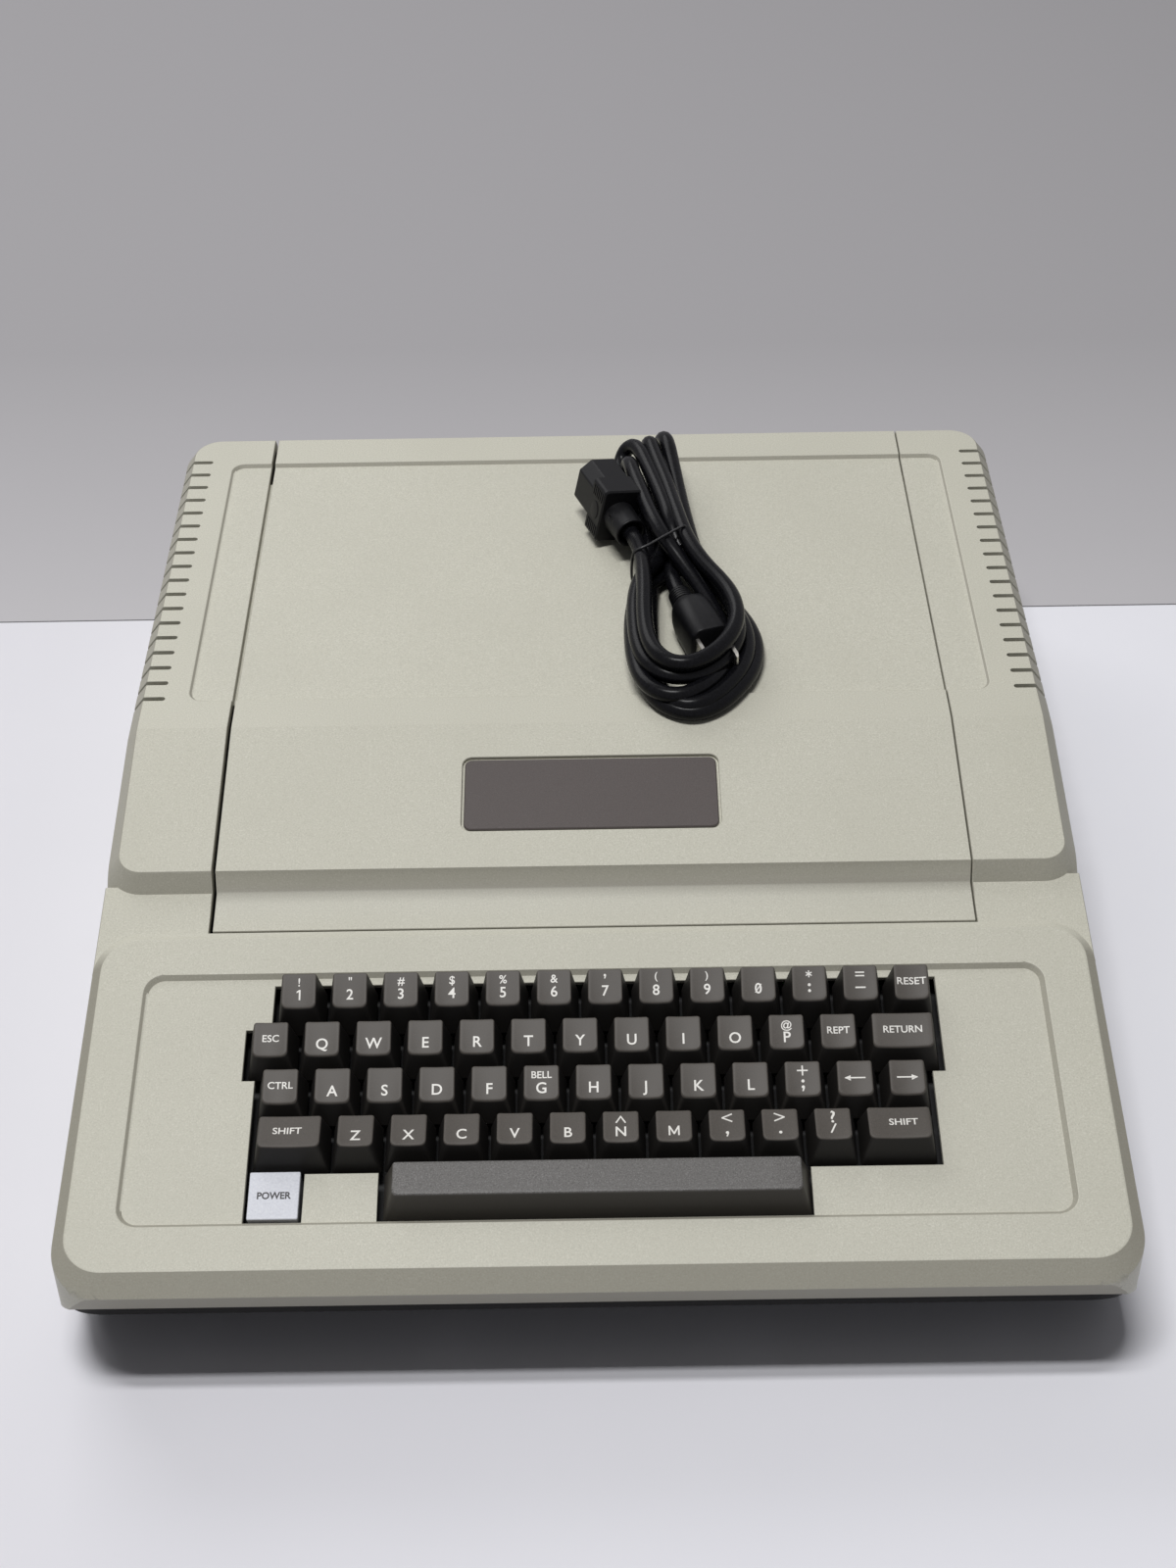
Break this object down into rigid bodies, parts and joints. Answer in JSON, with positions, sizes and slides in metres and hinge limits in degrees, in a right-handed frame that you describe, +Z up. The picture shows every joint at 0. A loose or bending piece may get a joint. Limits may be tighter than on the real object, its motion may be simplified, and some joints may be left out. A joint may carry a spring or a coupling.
{
  "type": "home computer",
  "caption": "Wedge-shaped desktop computer: sloped keyboard deck, flat lift-off lid over a card bay, side vents, rear power inlet, and a mains lead tied in a hank on the lid.",
  "frame": {"origin": "centre of the case's footprint, level with the soles of the feet", "axes": "+Z up, keyboard towards -Y, +X to the right of someone typing"},
  "size_m": [0.388, 0.4549, 0.1357],
  "materials": {
    "case_plastic": "warm grey-beige, finely speckled, satin",
    "key_plastic": "dark brown-grey with pale engraved characters",
    "badge_plastic": "dark taupe, bare",
    "base_plastic": "black, lightly textured",
    "foot_rubber": "matt black",
    "screw_steel": "plated",
    "frame_steel": "black",
    "switch_plastic": "black",
    "board_laminate": "green laminate with dark chips",
    "lamp_plastic": "milky white lens",
    "socket_plastic": "dark green",
    "supply_metal": "satin sheet",
    "speaker_frame": "dark frame with paper cone",
    "cord_rubber": "black, slightly glossy"
  },
  "bodies": {
    "case": {"upper_case": "case_plastic", "base_plate": "base_plastic", "rubber_feet": "foot_rubber", "case_screws": "screw_steel", "keyboard_frame": "frame_steel", "key_switches": "switch_plastic", "keyboard_board": "board_laminate", "power_lamp": "lamp_plastic", "main_board": "board_laminate", "expansion_sockets": "socket_plastic", "power_supply_box": "supply_metal", "mains_inlet": "switch_plastic", "speaker": "speaker_frame"},
    "rocker": {"power_switch": "switch_plastic"},
    "cover": {"lid": "case_plastic", "badge_plate": "badge_plastic", "mains_lead": "cord_rubber", "lead_connector": "cord_rubber", "lead_plug": "cord_rubber"},
    "keys_1_2_body": {"keys_1_2": "key_plastic"},
    "keys_3_4_body": {"keys_3_4": "key_plastic"},
    "keys_5_6_body": {"keys_5_6": "key_plastic"},
    "keys_7_8_body": {"keys_7_8": "key_plastic"},
    "keys_9_0_body": {"keys_9_0": "key_plastic"},
    "keys_colon_minus_body": {"keys_colon_minus": "key_plastic"},
    "key_reset_body": {"key_reset": "key_plastic"},
    "key_escape_body": {"key_escape": "key_plastic"},
    "key_q_body": {"key_q": "key_plastic"},
    "key_w_body": {"key_w": "key_plastic"},
    "key_e_body": {"key_e": "key_plastic"},
    "key_r_body": {"key_r": "key_plastic"},
    "key_t_body": {"key_t": "key_plastic"},
    "key_y_body": {"key_y": "key_plastic"},
    "key_u_body": {"key_u": "key_plastic"},
    "key_i_body": {"key_i": "key_plastic"},
    "key_o_body": {"key_o": "key_plastic"},
    "key_p_body": {"key_p": "key_plastic"},
    "key_repeat_body": {"key_repeat": "key_plastic"},
    "key_return_body": {"key_return": "key_plastic"},
    "key_control_body": {"key_control": "key_plastic"},
    "key_a_body": {"key_a": "key_plastic"},
    "key_s_body": {"key_s": "key_plastic"},
    "key_d_body": {"key_d": "key_plastic"},
    "key_f_body": {"key_f": "key_plastic"},
    "key_g_body": {"key_g": "key_plastic"},
    "key_h_body": {"key_h": "key_plastic"},
    "key_j_body": {"key_j": "key_plastic"},
    "key_k_body": {"key_k": "key_plastic"},
    "key_l_body": {"key_l": "key_plastic"},
    "key_semicolon_body": {"key_semicolon": "key_plastic"},
    "key_left_body": {"key_left": "key_plastic"},
    "key_right_body": {"key_right": "key_plastic"},
    "key_left_shift_body": {"key_left_shift": "key_plastic"},
    "keys_z_x_body": {"keys_z_x": "key_plastic"},
    "keys_c_v_body": {"keys_c_v": "key_plastic"},
    "keys_b_n_body": {"keys_b_n": "key_plastic"},
    "keys_m_comma_body": {"keys_m_comma": "key_plastic"},
    "keys_period_slash_body": {"keys_period_slash": "key_plastic"},
    "key_right_shift_body": {"key_right_shift": "key_plastic"},
    "space_bar_body": {"space_bar": "key_plastic"}
  },
  "joints": [
    {"name": "back_switch_rock", "type": "hinge", "parent": "case", "child": "rocker", "pos_m": [-0.154, 0.22, 0.046], "axis": [-1, 0, 0], "range_deg": [0, 20]},
    {"name": "cover_lift", "type": "slide", "parent": "case", "child": "cover", "axis": [0, 0, 1], "range_m": [0, 0.15]},
    {"name": "key_1_2_press", "type": "slide", "parent": "case", "child": "keys_1_2_body", "axis": [0, 0.1886, -0.9821], "range_m": [0, 0.004], "stiffness_N_per_m": 100, "springref_m": -0.002},
    {"name": "key_3_4_press", "type": "slide", "parent": "case", "child": "keys_3_4_body", "axis": [0, 0.1886, -0.9821], "range_m": [0, 0.004], "stiffness_N_per_m": 100, "springref_m": -0.002},
    {"name": "key_5_6_press", "type": "slide", "parent": "case", "child": "keys_5_6_body", "axis": [0, 0.1886, -0.9821], "range_m": [0, 0.004], "stiffness_N_per_m": 100, "springref_m": -0.002},
    {"name": "key_7_8_press", "type": "slide", "parent": "case", "child": "keys_7_8_body", "axis": [0, 0.1886, -0.9821], "range_m": [0, 0.004], "stiffness_N_per_m": 100, "springref_m": -0.002},
    {"name": "key_9_0_press", "type": "slide", "parent": "case", "child": "keys_9_0_body", "axis": [0, 0.1886, -0.9821], "range_m": [0, 0.004], "stiffness_N_per_m": 100, "springref_m": -0.002},
    {"name": "key_colon_minus_press", "type": "slide", "parent": "case", "child": "keys_colon_minus_body", "axis": [0, 0.1886, -0.9821], "range_m": [0, 0.004], "stiffness_N_per_m": 100, "springref_m": -0.002},
    {"name": "key_reset_press", "type": "slide", "parent": "case", "child": "key_reset_body", "axis": [0, 0.1886, -0.9821], "range_m": [0, 0.004], "stiffness_N_per_m": 100, "springref_m": -0.002},
    {"name": "key_escape_press", "type": "slide", "parent": "case", "child": "key_escape_body", "axis": [0, 0.1886, -0.9821], "range_m": [0, 0.004], "stiffness_N_per_m": 100, "springref_m": -0.002},
    {"name": "key_q_press", "type": "slide", "parent": "case", "child": "key_q_body", "axis": [0, 0.1886, -0.9821], "range_m": [0, 0.004], "stiffness_N_per_m": 100, "springref_m": -0.002},
    {"name": "key_w_press", "type": "slide", "parent": "case", "child": "key_w_body", "axis": [0, 0.1886, -0.9821], "range_m": [0, 0.004], "stiffness_N_per_m": 100, "springref_m": -0.002},
    {"name": "key_e_press", "type": "slide", "parent": "case", "child": "key_e_body", "axis": [0, 0.1886, -0.9821], "range_m": [0, 0.004], "stiffness_N_per_m": 100, "springref_m": -0.002},
    {"name": "key_r_press", "type": "slide", "parent": "case", "child": "key_r_body", "axis": [0, 0.1886, -0.9821], "range_m": [0, 0.004], "stiffness_N_per_m": 100, "springref_m": -0.002},
    {"name": "key_t_press", "type": "slide", "parent": "case", "child": "key_t_body", "axis": [0, 0.1886, -0.9821], "range_m": [0, 0.004], "stiffness_N_per_m": 100, "springref_m": -0.002},
    {"name": "key_y_press", "type": "slide", "parent": "case", "child": "key_y_body", "axis": [0, 0.1886, -0.9821], "range_m": [0, 0.004], "stiffness_N_per_m": 100, "springref_m": -0.002},
    {"name": "key_u_press", "type": "slide", "parent": "case", "child": "key_u_body", "axis": [0, 0.1886, -0.9821], "range_m": [0, 0.004], "stiffness_N_per_m": 100, "springref_m": -0.002},
    {"name": "key_i_press", "type": "slide", "parent": "case", "child": "key_i_body", "axis": [0, 0.1886, -0.9821], "range_m": [0, 0.004], "stiffness_N_per_m": 100, "springref_m": -0.002},
    {"name": "key_o_press", "type": "slide", "parent": "case", "child": "key_o_body", "axis": [0, 0.1886, -0.9821], "range_m": [0, 0.004], "stiffness_N_per_m": 100, "springref_m": -0.002},
    {"name": "key_p_press", "type": "slide", "parent": "case", "child": "key_p_body", "axis": [0, 0.1886, -0.9821], "range_m": [0, 0.004], "stiffness_N_per_m": 100, "springref_m": -0.002},
    {"name": "key_repeat_press", "type": "slide", "parent": "case", "child": "key_repeat_body", "axis": [0, 0.1886, -0.9821], "range_m": [0, 0.004], "stiffness_N_per_m": 100, "springref_m": -0.002},
    {"name": "key_return_press", "type": "slide", "parent": "case", "child": "key_return_body", "axis": [0, 0.1886, -0.9821], "range_m": [0, 0.004], "stiffness_N_per_m": 100, "springref_m": -0.002},
    {"name": "key_control_press", "type": "slide", "parent": "case", "child": "key_control_body", "axis": [0, 0.1886, -0.9821], "range_m": [0, 0.004], "stiffness_N_per_m": 100, "springref_m": -0.002},
    {"name": "key_a_press", "type": "slide", "parent": "case", "child": "key_a_body", "axis": [0, 0.1886, -0.9821], "range_m": [0, 0.004], "stiffness_N_per_m": 100, "springref_m": -0.002},
    {"name": "key_s_press", "type": "slide", "parent": "case", "child": "key_s_body", "axis": [0, 0.1886, -0.9821], "range_m": [0, 0.004], "stiffness_N_per_m": 100, "springref_m": -0.002},
    {"name": "key_d_press", "type": "slide", "parent": "case", "child": "key_d_body", "axis": [0, 0.1886, -0.9821], "range_m": [0, 0.004], "stiffness_N_per_m": 100, "springref_m": -0.002},
    {"name": "key_f_press", "type": "slide", "parent": "case", "child": "key_f_body", "axis": [0, 0.1886, -0.9821], "range_m": [0, 0.004], "stiffness_N_per_m": 100, "springref_m": -0.002},
    {"name": "key_g_press", "type": "slide", "parent": "case", "child": "key_g_body", "axis": [0, 0.1886, -0.9821], "range_m": [0, 0.004], "stiffness_N_per_m": 100, "springref_m": -0.002},
    {"name": "key_h_press", "type": "slide", "parent": "case", "child": "key_h_body", "axis": [0, 0.1886, -0.9821], "range_m": [0, 0.004], "stiffness_N_per_m": 100, "springref_m": -0.002},
    {"name": "key_j_press", "type": "slide", "parent": "case", "child": "key_j_body", "axis": [0, 0.1886, -0.9821], "range_m": [0, 0.004], "stiffness_N_per_m": 100, "springref_m": -0.002},
    {"name": "key_k_press", "type": "slide", "parent": "case", "child": "key_k_body", "axis": [0, 0.1886, -0.9821], "range_m": [0, 0.004], "stiffness_N_per_m": 100, "springref_m": -0.002},
    {"name": "key_l_press", "type": "slide", "parent": "case", "child": "key_l_body", "axis": [0, 0.1886, -0.9821], "range_m": [0, 0.004], "stiffness_N_per_m": 100, "springref_m": -0.002},
    {"name": "key_semicolon_press", "type": "slide", "parent": "case", "child": "key_semicolon_body", "axis": [0, 0.1886, -0.9821], "range_m": [0, 0.004], "stiffness_N_per_m": 100, "springref_m": -0.002},
    {"name": "key_left_press", "type": "slide", "parent": "case", "child": "key_left_body", "axis": [0, 0.1886, -0.9821], "range_m": [0, 0.004], "stiffness_N_per_m": 100, "springref_m": -0.002},
    {"name": "key_right_press", "type": "slide", "parent": "case", "child": "key_right_body", "axis": [0, 0.1886, -0.9821], "range_m": [0, 0.004], "stiffness_N_per_m": 100, "springref_m": -0.002},
    {"name": "key_left_shift_press", "type": "slide", "parent": "case", "child": "key_left_shift_body", "axis": [0, 0.1886, -0.9821], "range_m": [0, 0.004], "stiffness_N_per_m": 100, "springref_m": -0.002},
    {"name": "key_z_x_press", "type": "slide", "parent": "case", "child": "keys_z_x_body", "axis": [0, 0.1886, -0.9821], "range_m": [0, 0.004], "stiffness_N_per_m": 100, "springref_m": -0.002},
    {"name": "key_c_v_press", "type": "slide", "parent": "case", "child": "keys_c_v_body", "axis": [0, 0.1886, -0.9821], "range_m": [0, 0.004], "stiffness_N_per_m": 100, "springref_m": -0.002},
    {"name": "key_b_n_press", "type": "slide", "parent": "case", "child": "keys_b_n_body", "axis": [0, 0.1886, -0.9821], "range_m": [0, 0.004], "stiffness_N_per_m": 100, "springref_m": -0.002},
    {"name": "key_m_comma_press", "type": "slide", "parent": "case", "child": "keys_m_comma_body", "axis": [0, 0.1886, -0.9821], "range_m": [0, 0.004], "stiffness_N_per_m": 100, "springref_m": -0.002},
    {"name": "key_period_slash_press", "type": "slide", "parent": "case", "child": "keys_period_slash_body", "axis": [0, 0.1886, -0.9821], "range_m": [0, 0.004], "stiffness_N_per_m": 100, "springref_m": -0.002},
    {"name": "key_right_shift_press", "type": "slide", "parent": "case", "child": "key_right_shift_body", "axis": [0, 0.1886, -0.9821], "range_m": [0, 0.004], "stiffness_N_per_m": 100, "springref_m": -0.002},
    {"name": "key_space_bar_press", "type": "slide", "parent": "case", "child": "space_bar_body", "axis": [0, 0.1886, -0.9821], "range_m": [0, 0.004], "stiffness_N_per_m": 150, "springref_m": -0.004}
  ]
}
